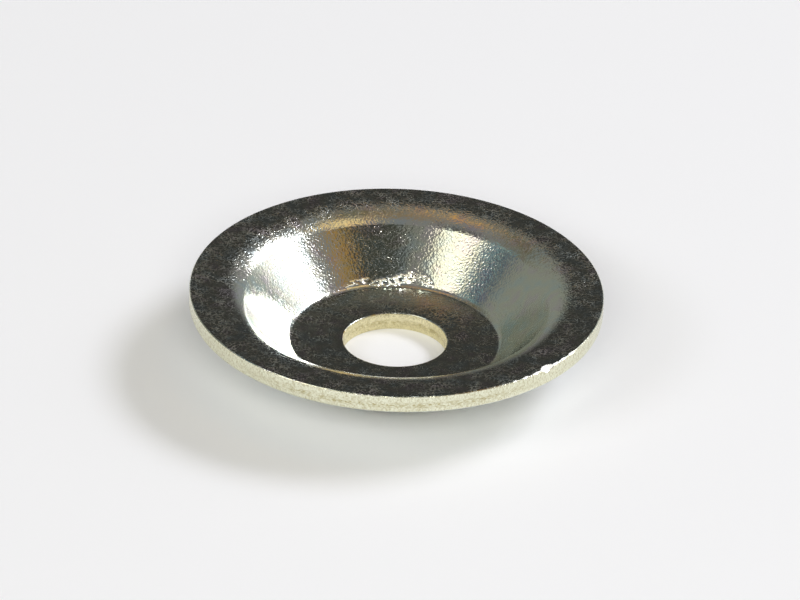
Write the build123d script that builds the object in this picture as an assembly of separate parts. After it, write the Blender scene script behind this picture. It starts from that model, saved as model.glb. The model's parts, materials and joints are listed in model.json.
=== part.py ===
from build123d import *
import math
import os

# A dished washer, pressed from one disc of zinc-plated sheet steel.
# It stands dish up on its flat floor. The origin is the centre of the bolt hole,
# on the underside of the floor, and +Z runs along the hole towards the open dish.
# All sizes are in millimetres and all angles in degrees.

# Sheet, outline and depth
SHEET = 1.5                 # thickness of the sheet, the same all the way through
OUTER_DIAMETER = 33.4       # over the cut edge of the rim
HOLE_DIAMETER = 8.4         # clears an M8 bolt
DISH_DEPTH = 4.67           # from the rim's top face down to the floor's top face

# Pressed form, from the rim inwards, measured on the face inside the dish.
# The floor's own width follows from these and from the outer diameter.
RIM_FLAT = 1.85             # width of the flat ring round the rim
RIM_BEND_RADIUS = 4.0       # rounded bend from the flat rim down towards the cone
CREASE_STEP = 5.0           # the bend stops this much short of the cone's slope, at a crease
CONE_ANGLE = 45.0           # slope of the straight, drawn side
FLOOR_BEND_RADIUS = 0.7     # hollow bend where the cone turns into the flat floor

# Cut edges: the blank is sheared from below, so its burr side is up
ROLLOVER_RADIUS = 0.25      # rounding that the shear pulled into the rim's lower edge
BURR_BREAK = 0.06           # tumbled break on the sharp upper edge of the rim
HOLE_ENTRY_BREAK = 0.12     # break where the punch went in, at the hole's top
HOLE_EXIT_BREAK = 0.08      # break on the hole's lower edge


def face_outline():
    """Joints of the upper face, from the rim's edge in to the hole, as (radius, height)."""
    cone = math.radians(CONE_ANGLE)
    crease = math.radians(CONE_ANGLE - CREASE_STEP)
    floor_z = SHEET
    rim_z = SHEET + DISH_DEPTH

    edge_r = OUTER_DIAMETER / 2
    rim_flat_r = edge_r - RIM_FLAT
    crease_r = rim_flat_r - RIM_BEND_RADIUS * math.sin(crease)
    crease_z = rim_z - RIM_BEND_RADIUS * (1 - math.cos(crease))
    cone_foot_z = floor_z + FLOOR_BEND_RADIUS * (1 - math.cos(cone))
    cone_foot_r = crease_r - (crease_z - cone_foot_z) / math.tan(cone)
    floor_r = cone_foot_r - FLOOR_BEND_RADIUS * math.sin(cone)
    return {
        "edge": (edge_r, rim_z),
        "rim_flat": (rim_flat_r, rim_z),
        "crease": (crease_r, crease_z),
        "cone_foot": (cone_foot_r, cone_foot_z),
        "floor": (floor_r, floor_z),
        "hole": (HOLE_DIAMETER / 2, floor_z),
    }


def underside_outline(face):
    """Joints of the lower face, one sheet thickness away from the upper one."""
    cone = math.radians(CONE_ANGLE)
    across_r = SHEET * math.sin(cone)
    across_z = SHEET * math.cos(cone)
    under_radius = RIM_BEND_RADIUS - SHEET

    # The lower bend is one smooth arc that meets the flat and the cone without a crease.
    foot_r = face["cone_foot"][0] + across_r
    foot_z = face["cone_foot"][1] - across_z
    rim_under_z = face["edge"][1] - SHEET
    cone_head_z = rim_under_z - under_radius * (1 - math.cos(cone))
    cone_head_r = foot_r + (cone_head_z - foot_z) / math.tan(cone)
    return {
        "hole": (face["hole"][0], 0),
        "floor": (face["floor"][0], 0),
        "cone_foot": (foot_r, foot_z),
        "cone_head": (cone_head_r, cone_head_z),
        "rim_flat": (cone_head_r + under_radius * math.sin(cone), rim_under_z),
        "edge": (face["edge"][0], rim_under_z),
    }


def washer_section():
    """Half section of the washer in the XZ plane, from the hole out to the rim's edge."""
    face = face_outline()
    under = underside_outline(face)
    under_rim_radius = RIM_BEND_RADIUS - SHEET
    under_floor_radius = FLOOR_BEND_RADIUS + SHEET

    with BuildSketch(Plane.XZ) as section:
        with BuildLine():
            # Upper face, from the rim in to the hole
            Line(face["edge"], face["rim_flat"])
            RadiusArc(face["rim_flat"], face["crease"], -RIM_BEND_RADIUS)
            Line(face["crease"], face["cone_foot"])
            RadiusArc(face["cone_foot"], face["floor"], FLOOR_BEND_RADIUS)
            Line(face["floor"], face["hole"])
            # Wall of the hole
            Line(face["hole"], under["hole"])
            # Underside, from the hole out to the rim
            Line(under["hole"], under["floor"])
            RadiusArc(under["floor"], under["cone_foot"], -under_floor_radius)
            Line(under["cone_foot"], under["cone_head"])
            RadiusArc(under["cone_head"], under["rim_flat"], under_rim_radius)
            Line(under["rim_flat"], under["edge"])
            # Sheared wall of the rim
            Line(under["edge"], face["edge"])
        make_face()
        broken_edges = [
            (face["hole"], HOLE_ENTRY_BREAK),
            (under["hole"], HOLE_EXIT_BREAK),
            (face["edge"], BURR_BREAK),
        ]
        for corner, size in broken_edges:
            chamfer(section.vertices().sort_by_distance(corner)[0], size)
        fillet(section.vertices().sort_by_distance(under["edge"])[0], ROLLOVER_RADIUS)
    return section.sketch


def washer():
    """The whole washer: its section turned once about the hole's axis."""
    with BuildPart() as part:
        add(washer_section())
        revolve(axis=Axis.Z)
    return part.part


os.makedirs("parts", exist_ok=True)
body = washer()
export_step(body, "parts/washer.step")
print("washer: volume", round(body.volume, 2), "mm3, box", body.bounding_box().size)
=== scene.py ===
"""A dished, zinc-plated sheet washer on a pale bench, under soft studio light.

The file is laid out as an add-on and is run as a script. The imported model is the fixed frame:
the washer's visible surface is spun from the same half section, and the camera, bench, lamps and
room stand round it. Lengths are in metres and angles in radians, except where a name says degrees.
"""

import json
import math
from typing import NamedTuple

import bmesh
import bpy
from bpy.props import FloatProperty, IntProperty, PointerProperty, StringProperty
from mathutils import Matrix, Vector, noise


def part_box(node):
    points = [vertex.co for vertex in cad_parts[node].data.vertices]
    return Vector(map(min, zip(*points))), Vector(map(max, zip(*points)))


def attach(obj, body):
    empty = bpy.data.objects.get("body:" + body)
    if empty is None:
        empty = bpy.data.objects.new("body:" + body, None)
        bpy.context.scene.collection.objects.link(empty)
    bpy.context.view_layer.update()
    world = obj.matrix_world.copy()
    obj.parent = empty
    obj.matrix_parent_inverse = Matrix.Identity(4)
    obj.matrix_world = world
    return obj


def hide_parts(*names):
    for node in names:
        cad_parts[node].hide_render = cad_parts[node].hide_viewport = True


bl_info = {
    "name": "Dished Washer",
    "version": (1, 0, 0),
    "blender": (4, 5, 0),
    "location": "3D View > Sidebar > Washer",
    "description": "Builds a pressed, zinc-plated dished washer and the studio it stands in",
    "category": "Object",
}

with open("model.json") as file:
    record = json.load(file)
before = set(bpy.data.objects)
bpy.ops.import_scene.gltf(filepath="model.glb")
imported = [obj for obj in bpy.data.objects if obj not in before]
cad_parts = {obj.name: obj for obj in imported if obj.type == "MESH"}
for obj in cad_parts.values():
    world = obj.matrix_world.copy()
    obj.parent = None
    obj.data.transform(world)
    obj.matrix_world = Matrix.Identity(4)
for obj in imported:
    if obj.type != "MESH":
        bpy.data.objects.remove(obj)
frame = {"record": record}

MM = 0.001
NODE = "washer"

CAD_LOW, CAD_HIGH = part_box(NODE)
CAD_SIZE = CAD_HIGH - CAD_LOW
MOUNTS = {mount["name"]: mount for mount in frame["record"]["mounts"]}

# Values taken from the frame, which the shape's defaults start from
OUTER_DIAMETER = round(max(CAD_SIZE.x, CAD_SIZE.y), 4)
SHEET = MOUNTS["head_seat"]["pos_m"][2]
HOLE_DIAMETER = 2 * MOUNTS["bolt_hole"]["dims"]["r_mm"] * MM

# Radii on both sides of the bend at the cone's foot
FLOOR_END = 8.0 * MM
CONE_START = 9.2 * MM

# How finely the washer's mesh is divided
WEDGES = 24                 # equal parts that the spun surface is made of
WELD = 0.001 * MM           # points closer together than this are one
RIM_PIECE = 0.08 * MM       # longest piece of the section on the rim's wall and upper edge
DISH_PIECE = 0.3 * MM       # longest piece on the upper face of the dish
PLAIN_PIECE = 0.8 * MM      # longest piece elsewhere
TOUCHING = 0.01 * MM        # a point this close to a radius counts as lying on it

# Marks of the press, the shear and the tool
KNOCK_REACH = 0.5 * MM      # how far in from the rim's edge a knock can go
SHEAR_WIDTH = 0.3 * MM      # width of the upright grain in the sheared wall
SHEAR_STRETCH = 4           # how many times as tall as wide that grain is
WALL_DEPTH = 0.02 * MM      # depth that holds all of a sheared wall with its grain
TEAR_START = 0.45           # share of the sheet, from below, where the cut ends and the tear begins
RIM_TEARS = (-11 * MM, -15 * MM)    # places along Y where the rim's tears are fewest and most
HOLE_TEARS = (-4 * MM, 0)           # the same for the tears in the hole's wall

# The washer's finishes, in the order of its material slots
PLATED, SHEARED, PUNCHED, SCUFFED, KNOCK_GLINT = range(5)


def length(name, description, default):
    """A property that holds a length in metres."""
    return FloatProperty(name=name, description=description, default=default, precision=5,
                         subtype="DISTANCE", unit="LENGTH")


def angle(name, description, degrees):
    """A property that holds an angle, whose default is given in degrees."""
    return FloatProperty(name=name, description=description, default=math.radians(degrees),
                         subtype="ANGLE", unit="ROTATION")


def level(name, description, default):
    """A property that holds a plain factor."""
    return FloatProperty(name=name, description=description, default=default, min=0.0)


def colour(name, description, default):
    """A property that holds an sRGB colour as a hex string."""
    return StringProperty(name=name, description=description, default=default)


class WasherShape(bpy.types.PropertyGroup):
    """The washer's half section and the marks in its surface."""

    outer_diameter: length("Outer diameter", "Over the sheared edge of the rim", OUTER_DIAMETER)
    height: length("Height", "From the underside of the floor to the rim's face", CAD_SIZE.z)
    sheet: length("Sheet", "Thickness of the sheet", SHEET)
    hole_diameter: length("Hole", "Diameter of the bolt hole", HOLE_DIAMETER)
    rim_flat: length("Rim flat", "Width of the flat ring round the rim", 1.85 * MM)
    bend_radius: length("Rim bend", "Radius of the bend from the rim down to the cone", 4.0 * MM)
    foot_radius: length("Foot bend", "Radius of the bend from the cone to the floor", 0.7 * MM)
    cone_angle: angle("Cone angle", "Slope of the drawn side", 45)
    crease_step: angle("Crease step", "How much steeper the cone is than the end of the bend", 5)
    rollover: length("Rollover", "Rounding of the rim's lower edge", 0.25 * MM)
    burr_break: length("Burr break", "Break on the rim's upper edge", 0.06 * MM)
    entry_break: length("Entry break", "Break on the hole's upper edge", 0.12 * MM)
    exit_break: length("Exit break", "Break on the hole's lower edge", 0.08 * MM)
    steps: IntProperty(name="Steps", description="Faces round the washer", default=600, min=48)
    warp: length("Warp", "Height of the long, shallow waves in the pressed sheet", 0.006 * MM)
    warp_length: length("Warp length", "Length of those waves", 5.0 * MM)
    shear_grain: length("Shear grain", "Depth of the upright grain in the sheared edge",
                        0.012 * MM)
    nick_slope: angle("Nick slope", "Slope of the small knocks on the rim's edge", 37)
    scuff_height: length("Scuff height", "Height of the tool's scuffs at the cone's foot",
                         0.09 * MM)
    scuff_grain: length("Scuff grain", "Width of the wrinkles in those scuffs", 0.22 * MM)


class WasherFinish(bpy.types.PropertyGroup):
    """Colours and grain of the zinc plate and its passivate."""

    straw: colour("Straw", "Pale straw tint of the passivate", "E8E8D8")
    clear: colour("Clear", "Clear, slightly blue tint where the passivate is thin", "DEE7E2")
    violet: colour("Violet", "Faint violet where the passivate is thick", "E7E0DE")
    edge_straw: colour("Edge straw", "Tint of the sheared edge", "F3F4DC")
    fleck: colour("Fleck", "Deeper straw in the pits of the sheared edges", "B8AE80")
    hole_straw: colour("Hole straw", "Tint of the punched wall of the hole", "EDE5BE")
    scuff_cream: colour("Scuff", "Burnished cream of the tool's scuffs", "F2EFDD")
    # The knocks' matt near white is a painted highlight: it stands in for the glint of their
    # facets.
    knock_glint_white: colour("Bruise", "Matt white of the knocks on the rim", "F6F6F0")
    grain: length("Grain", "Size of the pebbles in the plated surface", 0.18 * MM)
    grain_depth: length("Grain depth", "Depth of those pebbles", 0.022 * MM)
    gloss_roughness: level("Roughness", "Roughness of the bright faces", 0.1)
    speck_roughness: level("Speck roughness", "Roughness of the fine dull specks", 0.44)
    edge_roughness: level("Edge roughness", "Roughness of the sheared edges", 0.16)


class Studio(bpy.types.PropertyGroup):
    """Camera, bench and lamps."""

    camera_tilt: angle("Camera tilt", "How far the camera looks down", 30.25)
    camera_roll: angle("Camera roll", "How far the picture's right side leans down", 2.09)
    camera_distance: length("Camera distance", "From the lens to the rim's centre", 483.4 * MM)
    camera_lens: level("Lens", "Focal length for a sensor 36 mm wide", 270.0)
    bench_size: length("Bench", "Width of the pale bench", 8.0)
    bench_colour: colour("Bench colour", "Near white of the bench", "F3F4F4")
    lamp_distance: length("Lamp distance", "From the washer to each lamp", 1.2)
    window_level: level("Window level", "Radiance of the lamp at the back right", 13.2)
    front_level: level("Front level", "Radiance of the lamp behind the camera", 7.4)
    room_level: level("Room level", "Strength of the room", 1.0)


class Lamp(NamedTuple):
    """A soft oval lamp, in degrees: its bearing runs from +Y towards +X."""

    name: str
    bearing: float
    elevation: float
    half_width: float
    half_height: float
    colour: str


class Card(NamedTuple):
    """A soft oval patch of the room that the metal mirrors, in degrees."""

    bearing: float
    elevation: float
    half_width: float
    half_height: float
    edge: float
    colour: str
    level: float


class Nick(NamedTuple):
    """A knock on the rim's upper edge: bearing and half length in degrees, width in mm."""

    bearing: float
    half_length: float
    width: float


class Scuff(NamedTuple):
    """A place on the tool's scuff: bearing in degrees, middle radius and half width in mm."""

    bearing: float
    radius: float
    half_width: float


NICKS = (Nick(133.2, 2.8, 0.46), Nick(129.8, 1.6, 0.15), Nick(126.6, 1.4, 0.13),
         Nick(122.8, 2.2, 0.12), Nick(137.0, 2.0, 0.13), Nick(141.0, 1.8, 0.11),
         Nick(144.6, 1.2, 0.1), Nick(-152.0, 1.2, 0.09))
SCUFFS = (Scuff(-30, 8.8, 0.1), Scuff(-27, 8.9, 0.18), Scuff(-16, 8.95, 0.2), Scuff(-13, 8.7, 0.25),
          Scuff(-8, 8.72, 0.3), Scuff(-1, 8.85, 0.35), Scuff(5, 9.12, 0.42), Scuff(12, 9.25, 0.4),
          Scuff(17, 9.0, 0.3), Scuff(20, 8.8, 0.1))

WINDOW = Lamp("window_lamp", 61.5, 41, 15, 8, "F1F2FF")
FRONT = Lamp("front_lamp", 180, 34, 20, 12, "FFFEFA")

ROOM_BASE = ("7E7E80", 1.0)
ROOM_CARDS = (
    Card(112, 16, 26, 15, 0.4, "C4CAD2", 0.6),        # wall, front right
    Card(-115, 16, 26, 15, 0.4, "C4CAD2", 0.6),       # wall, front left
    Card(-121.5, 44, 13.5, 21, 0.18, "FFFBE8", 1.5),  # pale, front left
    Card(-122, 33, 15, 8, 0.2, "F6F6FF", 4.8),        # bright, below it
    Card(-45, 18, 34, 24, 0.3, "868A84", 1.0),        # grey-green wall, back left
    Card(-62, 44, 10, 9, 0.6, "6C6A60", 1.0),         # olive, above it
    Card(-84, 38, 9, 8, 0.5, "4E5A68", 1.0),          # dark blue-grey, left
    Card(-82, 45, 8, 5, 0.6, "84A0A4", 1.0),          # teal, high left
    Card(3, 28, 17, 30, 0.2, "383837", 1.0),          # dark back wall
    Card(8, 48, 14, 9, 0.3, "3C3B38", 1.0),           # dark, at its top
    Card(65, 36, 22, 18, 0.2, "FFFFFF", 1.2),         # glow round the window
    Card(30, 12, 9, 9, 0.5, "8C9498", 1.0),           # grey, left below the window
    Card(50, 12, 11, 7, 0.5, "A4ACAC", 1.0),          # pale grey below the window
    Card(-24, 63.5, 7.5, 6, 0.5, "C89C62", 1.0),      # orange-brown, above the back left
    Card(90, 70, 13, 8, 0.5, "E6C890", 1.2),          # gold, above the window
    Card(0, 82, 10, 9, 0.5, "8A765E", 1.0),           # brown ceiling
    Card(26, 68, 9, 7, 0.5, "6E6650", 1.0),           # brown, high back
    Card(-34, 49, 12, 6, 0.5, "625C48", 1.0),         # olive brown, above the back left wall
    Card(-100, 66, 9, 7, 0.5, "4A4644", 1.0),         # dark, high left
    Card(121, 52, 9, 6, 0.5, "A48040", 1.0),          # brown, high right
    Card(160, 58, 20, 9, 0.4, "3A3C36", 1.0),         # dark, high front
    Card(-156, 60, 7, 5, 0.5, "7E827C", 1.0),         # grey, high front left
)


def linear(hex_colour, factor=1.0):
    """An sRGB hex string as linear red, green, blue and alpha."""
    shares = [int(hex_colour[i:i + 2], 16) / 255 for i in (0, 2, 4)]
    return (*[factor * (c / 12.92 if c <= 0.04045 else ((c + 0.055) / 1.055) ** 2.4)
              for c in shares], 1.0)


def add(tree, kind, inputs=None, **settings):
    """Adds one node. Settings are its properties; inputs are values, or sockets to link."""
    node = tree.nodes.new(kind)
    for name, value in settings.items():
        setattr(node, name, value)
    for name, value in (inputs or {}).items():
        if isinstance(value, bpy.types.NodeSocket):
            tree.links.new(value, node.inputs[name])
        else:
            node.inputs[name].default_value = value
    return node


def new_material(name):
    """An empty node material and its tree."""
    material = bpy.data.materials.new(name)
    material.use_nodes = True
    material.node_tree.nodes.clear()
    return material, material.node_tree


def bearing_vector(bearing_degrees, elevation_degrees):
    """Unit vector towards a bearing, from +Y towards +X, and an elevation."""
    bearing, elevation = math.radians(bearing_degrees), math.radians(elevation_degrees)
    return Vector((math.sin(bearing) * math.cos(elevation),
                   math.cos(bearing) * math.cos(elevation), math.sin(elevation)))


# The washer's shape

def section_corners(shape):
    """Named corners of the half section before rounding: (radius, height, reach, segments).

    The reach is how far the rounding or the break runs along both sides of its corner.
    """
    cone = shape.cone_angle
    crease = cone - shape.crease_step
    edge_r = shape.outer_diameter / 2
    hole_r = shape.hole_diameter / 2
    rim_z, floor_z = shape.height, shape.sheet
    half_turn = math.tan(cone / 2)

    bend_reach = shape.bend_radius * math.tan(crease / 2)
    bend_r = edge_r - shape.rim_flat - bend_reach
    crease_r = bend_r - bend_reach * math.cos(crease)
    crease_z = rim_z - bend_reach * math.sin(crease)
    foot_r = crease_r - (crease_z - floor_z) / math.tan(cone)
    under_foot_r = foot_r + shape.sheet * half_turn
    under_rim_z = rim_z - shape.sheet
    under_bend_r = under_foot_r + under_rim_z / math.tan(cone)
    return {
        "rim_edge": (edge_r, rim_z, shape.burr_break, 1),
        "bend": (bend_r, rim_z, bend_reach, 30),
        "crease": (crease_r, crease_z, 0, 0),
        "foot": (foot_r, floor_z, shape.foot_radius * half_turn, 10),
        "hole_entry": (hole_r, floor_z, shape.entry_break, 3),
        "hole_exit": (hole_r, 0, shape.exit_break, 2),
        "under_foot": (under_foot_r, 0, (shape.foot_radius + shape.sheet) * half_turn, 10),
        "under_bend": (under_bend_r, under_rim_z,
                       (shape.bend_radius - shape.sheet) * half_turn, 12),
        "under_rim": (edge_r, under_rim_z, shape.rollover, 10),
    }


def inside_dish(radius, height, shape):
    """Whether a place on the section lies on the upper face of the dish, and not on the rim.

    It is compared with a line inside the sheet: level in the floor, then rising at 45 degrees.
    """
    return height > 0.9 * shape.sheet + max(0, radius - CONE_START)


def draw_section(bm, shape):
    """Draws the half section as a closed ring of edges, rounded and evenly divided."""
    corners = section_corners(shape).values()
    ring = [bm.verts.new((r, 0, z)) for r, z, _, _ in corners]
    for start, end in zip(ring, ring[1:] + ring[:1]):
        bm.edges.new((start, end))
    for vert, (_, _, reach, segments) in zip(ring, corners):
        if segments:
            bmesh.ops.bevel(bm, geom=[vert], offset=reach, offset_type="OFFSET",
                            segments=segments, profile=0.5, affect="VERTICES", material=-1)
    bmesh.ops.remove_doubles(bm, verts=bm.verts[:], dist=WELD)
    for edge in bm.edges[:]:
        pieces = math.ceil(edge.calc_length() / edge_limit(edge, shape))
        if pieces > 1:
            bmesh.ops.subdivide_edges(bm, edges=[edge], cuts=pieces - 1)


def edge_limit(edge, shape):
    """Longest piece that a part of the section may have, so that it can show its marks."""
    middle = (edge.verts[0].co + edge.verts[1].co) / 2
    from_edge = shape.outer_diameter / 2 - middle.x
    if from_edge < KNOCK_REACH and middle.z > shape.height - shape.sheet:
        return RIM_PIECE
    return DISH_PIECE if inside_dish(middle.x, middle.z, shape) else PLAIN_PIECE


def washer_surface(shape):
    """Spins the half section once round the hole's axis."""
    bm = bmesh.new()
    draw_section(bm, shape)
    # One wedge is spun first and then repeated, because one long spin takes far more time.
    wedge = 2 * math.pi / WEDGES
    bmesh.ops.spin(bm, geom=bm.verts[:] + bm.edges[:], cent=(0, 0, 0), axis=(0, 0, 1),
                   angle=wedge, steps=shape.steps // WEDGES)
    bmesh.ops.spin(bm, geom=bm.verts[:] + bm.edges[:] + bm.faces[:], cent=(0, 0, 0),
                   axis=(0, 0, 1), angle=2 * math.pi - wedge, steps=WEDGES - 1,
                   use_duplicate=True)
    bmesh.ops.remove_doubles(bm, verts=bm.verts[:], dist=WELD)
    refine(bm, shape, under_scuff, (1, 3))
    refine(bm, shape, under_knock, (2, 7))
    mark_surface(bm, shape)
    bmesh.ops.recalc_face_normals(bm, faces=bm.faces[:])
    return bm


def bearing_of(point):
    """Bearing of a point from +Y towards +X, in degrees."""
    return math.degrees(math.atan2(point.x, point.y))


def scuff_share(point):
    """How deep a point lies inside the tool's scuff: 1 in its middle and 0 outside."""
    bearing, radius = bearing_of(point), point.xy.length / MM
    for start, end in zip(SCUFFS, SCUFFS[1:]):
        if start.bearing <= bearing < end.bearing:
            along = (bearing - start.bearing) / (end.bearing - start.bearing)
            middle = start.radius + along * (end.radius - start.radius)
            half_width = start.half_width + along * (end.half_width - start.half_width)
            return max(0.0, 1 - (abs(radius - middle) / half_width) ** 3)
    return 0.0


def wrinkle(point, shape):
    """Height of the scuff's wrinkles at a point, from 0 to 1: sharp ridges that branch."""
    stretch, gap_size, gap_start = 3, 3, Vector((7, 0, 0))
    along = math.radians(bearing_of(point)) * point.xy.length / stretch
    place = Vector((along, point.xy.length, 0)) / shape.scuff_grain
    ridge = 1 - 4 * abs(noise.noise(place))
    # The wrinkles fade out in gaps a few wrinkles wide.
    kept = 0.85 + 1.5 * noise.noise(place / gap_size + gap_start)
    return max(0.0, ridge) * min(1.0, max(0.0, kept))


def knock_depth(point, shape):
    """How far a point near the rim's edge lies below the rim as it was before the knocks."""
    from_edge = shape.outer_diameter / 2 - point.xy.length
    before = shape.height - max(0, shape.burr_break - from_edge)
    return before - point.z if from_edge < KNOCK_REACH else 0.0


def under_scuff(point, shape):
    """Whether a point of the upper face lies under the tool's scuff, or close to it."""
    margin_mm, margin_degrees = 0.1, 1
    inner = min(scuff.radius - scuff.half_width for scuff in SCUFFS) - margin_mm
    outer = max(scuff.radius + scuff.half_width for scuff in SCUFFS) + margin_mm
    first, last = SCUFFS[0].bearing - margin_degrees, SCUFFS[-1].bearing + margin_degrees
    return (inner < point.xy.length / MM < outer and first < bearing_of(point) < last
            and inside_dish(point.xy.length, point.z, shape))


def under_knock(point, shape):
    """Whether a point lies under one of the knocks on the rim's upper edge, or close to it."""
    depth, margin, margin_degrees = 0.3 * MM, 0.2 * MM, 0.6
    from_edge = shape.outer_diameter / 2 - point.xy.length
    return from_edge < KNOCK_REACH + margin and point.z > shape.height - depth and any(
        abs(bearing_of(point) - nick.bearing) < nick.half_length + margin_degrees
        for nick in NICKS)


def refine(bm, shape, inside, cuts):
    """Divides the faces where `inside` holds, so that they can show fine marks.

    The cuts are counted on each edge that runs round the washer, and on each long one across it.
    """
    long = 0.1 * MM
    for runs_round, number in zip((True, False), cuts):
        chosen = []
        for edge in bm.edges:
            start, end = (vert.co for vert in edge.verts)
            same_ring = abs(start.xy.length - end.xy.length) + abs(start.z - end.z) < WELD
            needed = same_ring if runs_round else not same_ring and edge.calc_length() > long
            if needed and inside(start, shape) and inside(end, shape):
                chosen.append(edge)
        bmesh.ops.subdivide_edges(bm, edges=chosen, cuts=number, use_grid_fill=True)


def mark_surface(bm, shape):
    """Adds what press, shear and handling left: shallow waves, shear grain, knocks and scuffs."""
    edge_r = shape.outer_diameter / 2
    up = Vector((0, 0, 1))
    lowest_lift = 0.15
    for vert in bm.verts:
        place = vert.co.copy()
        radius, bearing = place.xy.length, bearing_of(place)
        flat = Vector((place.x, place.y, 0))
        outward = flat / radius
        if place.z > 0:
            vert.co.z += shape.warp * noise.noise(flat / shape.warp_length)
        if radius > edge_r - TOUCHING:
            grain = Vector((place.x, place.y, place.z / SHEAR_STRETCH)) / SHEAR_WIDTH
            vert.co += outward * shape.shear_grain * noise.noise(grain)
        for nick in NICKS:
            along = (bearing - nick.bearing) / nick.half_length
            if abs(along) < 1 and place.z > shape.height - shape.sheet / 2:
                start = edge_r - nick.width * MM * (1 - along ** 2)
                top = shape.height - (radius - start) * math.tan(shape.nick_slope)
                vert.co.z = min(vert.co.z, top)
        share = scuff_share(place)
        if share and inside_dish(radius, place.z, shape):
            lift = shape.scuff_height * share * (lowest_lift + wrinkle(place, shape))
            vert.co += lift * (math.cos(shape.cone_angle) * up
                               - math.sin(shape.cone_angle) * outward)


def finish_of(face, shape):
    """Which of the washer's finishes a face shows."""
    knocked, scuffed = 0.012 * MM, 0.22
    middle = face.calc_center_median()
    if middle.xy.length < shape.hole_diameter / 2 + WALL_DEPTH:
        return PUNCHED
    if middle.xy.length > shape.outer_diameter / 2 - WALL_DEPTH:
        return SHEARED
    # Knocked, upward facing facets take the painted highlight's matt white.
    if face.normal.z > 0.3 and knock_depth(middle, shape) > knocked:
        return KNOCK_GLINT
    if face.normal.z > 0 and scuff_share(middle) * wrinkle(middle, shape) > scuffed:
        return SCUFFED
    return PLATED


def shade_surface(bm, shape):
    """Gives each face its finish and shades it smooth, with the crease and sharp edges kept."""
    sharp_angle = math.radians(20)
    crease_r = section_corners(shape)["crease"][0]
    for face in bm.faces:
        face.smooth = True
        face.material_index = finish_of(face, shape)
    for edge in bm.edges:
        if not edge.is_manifold:
            raise RuntimeError("the washer's surface isn't closed")
        on_crease = all(abs(vert.co.xy.length - crease_r) < TOUCHING and vert.co.z > shape.sheet
                        for vert in edge.verts)
        edge.smooth = not on_crease and edge.calc_face_angle() < sharp_angle


# The washer's finish

def set_stops(ramp, stops):
    """Fills a new colour ramp, which has two stops, from pairs of a position and a colour."""
    elements = ramp.color_ramp.elements
    for index, (position, shade) in enumerate(stops):
        stop = elements[index] if index < 2 else elements.new(1.0)
        stop.position, stop.color = position, shade


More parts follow.
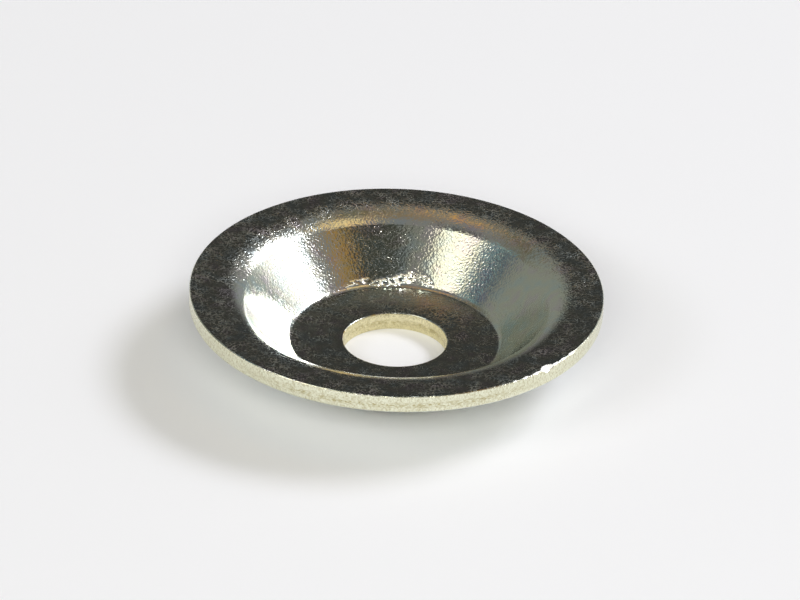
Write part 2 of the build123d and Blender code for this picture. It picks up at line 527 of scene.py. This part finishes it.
def plated_face(finish):
    """Bright zinc on drawn sheet, passivated: a mirror with pebbles, specks and a straw tint."""
    material, tree = new_material("bright_zinc_on_drawn_sheet")
    place = add(tree, "ShaderNodeTexCoord").outputs["Object"]
    drift = add(tree, "ShaderNodeTexNoise",
                {"Vector": place, "Scale": 1 / (1.6 * MM), "Detail": 2.0})
    tint = add(tree, "ShaderNodeValToRGB", {"Fac": drift.outputs["Fac"]})
    set_stops(tint, ((0.36, linear(finish.clear)), (0.52, linear(finish.straw)),
                     (0.68, linear(finish.violet))))

    # The floor was pressed flat against the punch, so its pebbles are shallower. The press drew the
    # far side harder than the near side, so they are deepest there.
    flat_place = add(tree, "ShaderNodeVectorMath", {0: place, 1: (1, 1, 0)}, operation="MULTIPLY")
    radius = add(tree, "ShaderNodeVectorMath", {0: flat_place.outputs[0]}, operation="LENGTH")
    drawn = add(tree, "ShaderNodeMapRange",
                {"Value": radius.outputs["Value"], "From Min": FLOOR_END, "From Max": CONE_START,
                 "To Min": 0.4, "To Max": 1.0})
    across = add(tree, "ShaderNodeSeparateXYZ", {"Vector": place})
    far_side = add(tree, "ShaderNodeMapRange",
                   {"Value": across.outputs["Y"], "From Min": -6.0 * MM, "From Max": 2.0 * MM,
                    "To Min": 0.35, "To Max": 1.0})
    drawn = add(tree, "ShaderNodeMath", {0: drawn.outputs[0], 1: far_side.outputs[0]},
                operation="MULTIPLY")
    pebble = add(tree, "ShaderNodeTexNoise",
                 {"Vector": place, "Scale": 1 / finish.grain, "Detail": 1.0, "Roughness": 0.5})

    # Dull specks follow the thin lines where a noise crosses its middle, so they look like worms.
    # They are drawn about twice as coarse as on the metal, because the picture can't show finer.
    lines = add(tree, "ShaderNodeTexNoise",
                {"Vector": place, "Scale": 1 / (0.36 * MM), "Detail": 2.0})
    off = add(tree, "ShaderNodeMath", {0: lines.outputs["Fac"], 1: 0.5}, operation="SUBTRACT")
    away = add(tree, "ShaderNodeMath", {0: off.outputs[0]}, operation="ABSOLUTE")
    worm = add(tree, "ShaderNodeMapRange",
               {"Value": away.outputs[0], "From Min": 0.09, "From Max": 0.0})
    patch = add(tree, "ShaderNodeTexNoise",
                {"Vector": place, "Scale": 1 / (1.1 * MM), "Detail": 2.0})
    patchy = add(tree, "ShaderNodeMapRange",
                 {"Value": patch.outputs["Fac"], "From Min": 0.35, "From Max": 0.65,
                  "To Min": 0.45, "To Max": 1.0})
    speck = add(tree, "ShaderNodeMath", {0: worm.outputs[0], 1: patchy.outputs[0]},
                operation="MULTIPLY")
    # Specks are strong on the rim, fewer on the floor and faint on the cone. The places are shares
    # of the rim's radius.
    span = add(tree, "ShaderNodeMath", {0: radius.outputs["Value"], 1: 2 / OUTER_DIAMETER},
               operation="MULTIPLY")
    zones = add(tree, "ShaderNodeValToRGB", {"Fac": span.outputs[0]})
    strengths = ((0.0, 0.7), (0.5, 0.7), (0.54, 0.2), (0.73, 0.2), (0.87, 1.0))
    set_stops(zones, [(position, (share, share, share, 1.0)) for position, share in strengths])
    speck = add(tree, "ShaderNodeMath", {0: speck.outputs[0], 1: zones.outputs["Color"]},
                operation="MULTIPLY")

    # Sparse dots of dust and tiny pits
    dots = add(tree, "ShaderNodeTexVoronoi", {"Vector": place, "Scale": 1 / (0.55 * MM)})
    chosen = add(tree, "ShaderNodeMath", {0: dots.outputs["Color"], 1: 0.72},
                 operation="GREATER_THAN")
    dot = add(tree, "ShaderNodeMapRange",
              {"Value": dots.outputs["Distance"], "From Min": 0.16, "From Max": 0.08})
    dot = add(tree, "ShaderNodeMath", {0: dot.outputs[0], 1: chosen.outputs[0]},
              operation="MULTIPLY")
    dot = add(tree, "ShaderNodeMath", {0: dot.outputs[0], 1: zones.outputs["Color"]},
              operation="MULTIPLY")
    dull = add(tree, "ShaderNodeMath", {0: speck.outputs[0], 1: dot.outputs[0]},
               operation="MAXIMUM")
    roughness = add(tree, "ShaderNodeMapRange",
                    {"Value": dull.outputs[0], "To Min": finish.gloss_roughness,
                     "To Max": finish.speck_roughness})

    height = add(tree, "ShaderNodeMath", {0: dull.outputs[0], 1: 0.5, 2: pebble.outputs["Fac"]},
                 operation="MULTIPLY_ADD")
    bump = add(tree, "ShaderNodeBump",
               {"Height": height.outputs[0], "Distance": finish.grain_depth,
                "Strength": drawn.outputs[0]})
    shader = add(tree, "ShaderNodeBsdfPrincipled",
                 {"Base Color": tint.outputs["Color"], "Metallic": 1.0,
                  "Roughness": roughness.outputs[0], "Normal": bump.outputs["Normal"]})
    add(tree, "ShaderNodeOutputMaterial", {"Surface": shader.outputs["BSDF"]})
    return material


def sheared_edge(name, tint, band_height, tear_side, finish):
    """Zinc on a sheared wall: fine grain, pits and tears that hold a deeper straw, a soft mirror.

    The tears grow between the two places along Y that `tear_side` gives.
    """
    material, tree = new_material(name)
    place = add(tree, "ShaderNodeTexCoord").outputs["Object"]
    upright = add(tree, "ShaderNodeMapping", {"Vector": place, "Scale": (1, 1, 0.7)})
    grain = add(tree, "ShaderNodeTexNoise",
                {"Vector": upright.outputs["Vector"], "Scale": 1 / (0.13 * MM), "Detail": 2.0,
                 "Roughness": 0.6})
    pits = add(tree, "ShaderNodeMapRange",
               {"Value": grain.outputs["Fac"], "From Min": 0.58, "From Max": 0.32, "To Max": 0.7})
    # The punch's cut ends and the tear begins in a streaky band at the middle of the sheet.
    parts = add(tree, "ShaderNodeSeparateXYZ", {"Vector": place})
    off = add(tree, "ShaderNodeMath", {0: parts.outputs["Z"], 1: band_height},
              operation="SUBTRACT")
    away = add(tree, "ShaderNodeMath", {0: off.outputs[0]}, operation="ABSOLUTE")
    band = add(tree, "ShaderNodeMapRange",
               {"Value": away.outputs[0], "From Min": 0.4 * MM, "From Max": 0.1 * MM})
    lying = add(tree, "ShaderNodeMapping", {"Vector": place, "Scale": (1, 1, 3)})
    streaks = add(tree, "ShaderNodeTexNoise",
                  {"Vector": lying.outputs["Vector"], "Scale": 1 / (0.32 * MM), "Detail": 3.0})
    torn = add(tree, "ShaderNodeMapRange",
               {"Value": streaks.outputs["Fac"], "From Min": 0.4, "From Max": 0.6})
    torn = add(tree, "ShaderNodeMath", {0: torn.outputs[0], 1: band.outputs[0]},
               operation="MULTIPLY")
    # The punch sat a little off centre in its die, so the wall tore more on one side.
    side = add(tree, "ShaderNodeMapRange",
               {"Value": parts.outputs["Y"], "From Min": tear_side[0], "From Max": tear_side[1],
                "To Min": 0.15, "To Max": 0.9})
    torn = add(tree, "ShaderNodeMath", {0: torn.outputs[0], 1: side.outputs[0]},
               operation="MULTIPLY")
    pits = add(tree, "ShaderNodeMath", {0: pits.outputs[0], 1: torn.outputs[0]},
               operation="MAXIMUM")
    colours = add(tree, "ShaderNodeMix", {0: pits.outputs[0], 6: linear(tint),
                                          7: linear(finish.fleck)}, data_type="RGBA")
    roughness = add(tree, "ShaderNodeMapRange",
                    {"Value": pits.outputs[0], "To Min": finish.edge_roughness,
                     "To Max": 2 * finish.edge_roughness})
    bump = add(tree, "ShaderNodeBump",
               {"Height": grain.outputs["Fac"], "Distance": 0.03 * MM, "Strength": 1.0})
    shader = add(tree, "ShaderNodeBsdfPrincipled",
                 {"Base Color": colours.outputs[2], "Metallic": 1.0,
                  "Roughness": roughness.outputs[0], "Normal": bump.outputs["Normal"]})
    add(tree, "ShaderNodeOutputMaterial", {"Surface": shader.outputs["BSDF"]})
    return material


def worn_zinc_and_painted_glint(name, tint, metallic):
    """Dragged or knocked zinc: pale and dull enough to catch the lamps from all sides; the knocks'
    near white is a painted highlight.
    """
    material, tree = new_material(name)
    shader = add(tree, "ShaderNodeBsdfPrincipled",
                 {"Base Color": linear(tint), "Metallic": metallic, "Roughness": 0.5})
    add(tree, "ShaderNodeOutputMaterial", {"Surface": shader.outputs["BSDF"]})
    return material


def washer_finishes(shape, finish):
    """The washer's materials, in the order PLATED, SHEARED, PUNCHED, SCUFFED, KNOCK_GLINT."""
    rim_tear = shape.height - (1 - TEAR_START) * shape.sheet
    hole_tear = TEAR_START * shape.sheet
    return (plated_face(finish),
            sheared_edge("zinc_on_sheared_edge", finish.edge_straw, rim_tear, RIM_TEARS, finish),
            sheared_edge("zinc_on_punched_wall", finish.hole_straw, hole_tear, HOLE_TEARS, finish),
            worn_zinc_and_painted_glint("zinc_on_tool_scuff", finish.scuff_cream, 1.0),
            # The knocks get a matt, hardly metallic near white: a painted highlight in place of
            # their glint.
            worn_zinc_and_painted_glint("bruised_zinc", finish.knock_glint_white, 0.2))


class WASHER_OT_build(bpy.types.Operator):
    """Spins the dished washer and gives it its zinc finish."""

    bl_idname = "washer.build"
    bl_label = "Build the washer"
    bl_options = {"REGISTER", "UNDO"}

    def execute(self, context):
        shape, finish = context.scene.washer_shape, context.scene.washer_finish
        bm = washer_surface(shape)
        shade_surface(bm, shape)
        mesh = bpy.data.meshes.new("dished_washer")
        for material in washer_finishes(shape, finish):
            mesh.materials.append(material)
        bm.to_mesh(mesh)
        bm.free()
        piece = bpy.data.objects.new("dished_washer", mesh)
        context.scene.collection.objects.link(piece)
        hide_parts(NODE)
        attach(piece, "root")
        print("washer triangles:", sum(len(p.vertices) - 2 for p in mesh.polygons))
        return {"FINISHED"}


# The studio

def aim_camera(studio, rim_centre):
    """Puts the camera at the photograph's angle, and aims it so that the washer falls as there."""
    tilt, roll = studio.camera_tilt, studio.camera_roll
    forward = Vector((0, math.cos(tilt), -math.sin(tilt)))
    level_right = Vector((1, 0, 0))
    level_down = forward.cross(level_right)
    right = math.cos(roll) * level_right - math.sin(roll) * level_down
    down = forward.cross(right)
    # The rim's centre is a little left of and above the middle of the picture.
    offset_right, offset_down = -0.26 * MM, -0.845 * MM
    aim = rim_centre - offset_right * right - offset_down * down
    place = aim - studio.camera_distance * forward
    data = bpy.data.cameras.new("camera")
    data.sensor_width = 36
    data.lens = studio.camera_lens
    camera = bpy.data.objects.new("camera", data)
    axes = Matrix((right, -down, -forward)).transposed()
    camera.matrix_world = Matrix.Translation(place) @ axes.to_4x4()
    return camera


def hang_lamp(lamp, radiance, distance):
    """An oval area lamp as wide as its angles ask, facing the washer."""
    data = bpy.data.lights.new(lamp.name, "AREA")
    data.shape = "ELLIPSE"
    data.size = 2 * distance * math.tan(math.radians(lamp.half_width))
    data.size_y = 2 * distance * math.tan(math.radians(lamp.half_height))
    data.energy = radiance * math.pi * (math.pi / 4 * data.size * data.size_y)
    data.color = linear(lamp.colour)[:3]
    towards = bearing_vector(lamp.bearing, lamp.elevation)
    hung = bpy.data.objects.new(lamp.name, data)
    hung.location = distance * towards
    hung.rotation_mode = "QUATERNION"
    hung.rotation_quaternion = (-towards).to_track_quat("-Z", "Y")
    return hung


def bench_top(studio):
    """A plain, near white bench top."""
    material, tree = new_material("matt_white_laminate")
    shader = add(tree, "ShaderNodeBsdfPrincipled",
                 {"Base Color": linear(studio.bench_colour), "Roughness": 0.9,
                  "Specular IOR Level": 0.2})
    add(tree, "ShaderNodeOutputMaterial", {"Surface": shader.outputs["BSDF"]})
    bm = bmesh.new()
    bmesh.ops.create_grid(bm, x_segments=1, y_segments=1, size=studio.bench_size / 2)
    mesh = bpy.data.meshes.new("bench_top")
    bm.to_mesh(mesh)
    bm.free()
    mesh.materials.append(material)
    return bpy.data.objects.new("bench_top", mesh)


def room(studio):
    """The room: soft patches of colour for the metal to mirror, and a pale ground behind it."""
    world = bpy.data.worlds.new("room")
    world.use_nodes = True
    tree = world.node_tree
    tree.nodes.clear()
    direction = add(tree, "ShaderNodeTexCoord").outputs["Generated"]
    parts = add(tree, "ShaderNodeSeparateXYZ", {"Vector": direction})
    bearing = add(tree, "ShaderNodeMath", {0: parts.outputs["X"], 1: parts.outputs["Y"]},
                  operation="ARCTAN2")
    elevation = add(tree, "ShaderNodeMath", {0: parts.outputs["Z"]}, operation="ARCSINE")
    angles = add(tree, "ShaderNodeCombineXYZ",
                 {"X": bearing.outputs[0], "Y": elevation.outputs[0]})
    shade = linear(*ROOM_BASE)
    for card in ROOM_CARDS:
        centre = (math.radians(card.bearing), math.radians(card.elevation), 0)
        reach = (math.radians(card.half_width) / math.cos(centre[1]),
                 math.radians(card.half_height), 1)
        away = add(tree, "ShaderNodeVectorMath", {0: angles.outputs[0], 1: centre},
                   operation="SUBTRACT")
        turned = add(tree, "ShaderNodeVectorMath",
                     {0: away.outputs[0], 1: (math.pi, math.pi, 1), 2: (-math.pi, -math.pi, -1)},
                     operation="WRAP")
        scaled = add(tree, "ShaderNodeVectorMath", {0: turned.outputs[0], 1: reach},
                     operation="DIVIDE")
        off = add(tree, "ShaderNodeVectorMath", {0: scaled.outputs[0]}, operation="LENGTH")
        inside = add(tree, "ShaderNodeMapRange",
                     {"Value": off.outputs["Value"], "From Min": 1 + card.edge,
                      "From Max": 1 - card.edge}, interpolation_type="SMOOTHSTEP")
        mixed = add(tree, "ShaderNodeMix", {0: inside.outputs[0], 6: shade,
                                            7: linear(card.colour, card.level)}, data_type="RGBA")
        shade = mixed.outputs[2]
    mirrored = add(tree, "ShaderNodeBackground", {"Color": shade, "Strength": studio.room_level})
    seen = add(tree, "ShaderNodeBackground",
               {"Color": linear(studio.bench_colour), "Strength": 1.0})
    rays = add(tree, "ShaderNodeLightPath")
    both = add(tree, "ShaderNodeMixShader",
               {0: rays.outputs["Is Camera Ray"], 1: mirrored.outputs[0], 2: seen.outputs[0]})
    add(tree, "ShaderNodeOutputWorld", {"Surface": both.outputs[0]})
    return world


class WASHER_OT_studio(bpy.types.Operator):
    """Sets up the bench, the lamps, the room and the camera."""

    bl_idname = "washer.studio"
    bl_label = "Set up the studio"
    bl_options = {"REGISTER", "UNDO"}

    def execute(self, context):
        scene, studio = context.scene, context.scene.washer_studio
        scene.view_settings.view_transform = "Standard"
        scene.world = room(studio)
        bench = bench_top(studio)
        camera = aim_camera(studio, Vector((0, 0, scene.washer_shape.height)))
        lamps = [hang_lamp(WINDOW, studio.window_level, studio.lamp_distance),
                 hang_lamp(FRONT, studio.front_level, studio.lamp_distance)]
        for thing in (bench, camera, *lamps):
            scene.collection.objects.link(thing)
        scene.camera = camera
        return {"FINISHED"}


class WASHER_PT_panel(bpy.types.Panel):
    """Lists the washer's sizes, finish and studio, and the steps that build them."""

    bl_label = "Dished washer"
    bl_idname = "WASHER_PT_panel"
    bl_space_type = "VIEW_3D"
    bl_region_type = "UI"
    bl_category = "Washer"

    def draw(self, context):
        for group, operator in (("washer_shape", None),
                                ("washer_finish", WASHER_OT_build.bl_idname),
                                ("washer_studio", WASHER_OT_studio.bl_idname)):
            settings = getattr(context.scene, group)
            box = self.layout.box()
            for name in settings.bl_rna.properties.keys():
                if name not in ("rna_type", "name"):
                    box.prop(settings, name)
            if operator:
                box.operator(operator)


GROUPS = {"washer_shape": WasherShape, "washer_finish": WasherFinish, "washer_studio": Studio}
CLASSES = (*GROUPS.values(), WASHER_OT_build, WASHER_OT_studio, WASHER_PT_panel)


def register():
    for cls in CLASSES:
        bpy.utils.register_class(cls)
    for name, group in GROUPS.items():
        setattr(bpy.types.Scene, name, PointerProperty(type=group))


def unregister():
    for name in GROUPS:
        delattr(bpy.types.Scene, name)
    for cls in reversed(CLASSES):
        bpy.utils.unregister_class(cls)


def main():
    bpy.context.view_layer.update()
    register()
    bpy.ops.washer.studio()
    bpy.ops.washer.build()


if __name__ == "__main__":
    main()
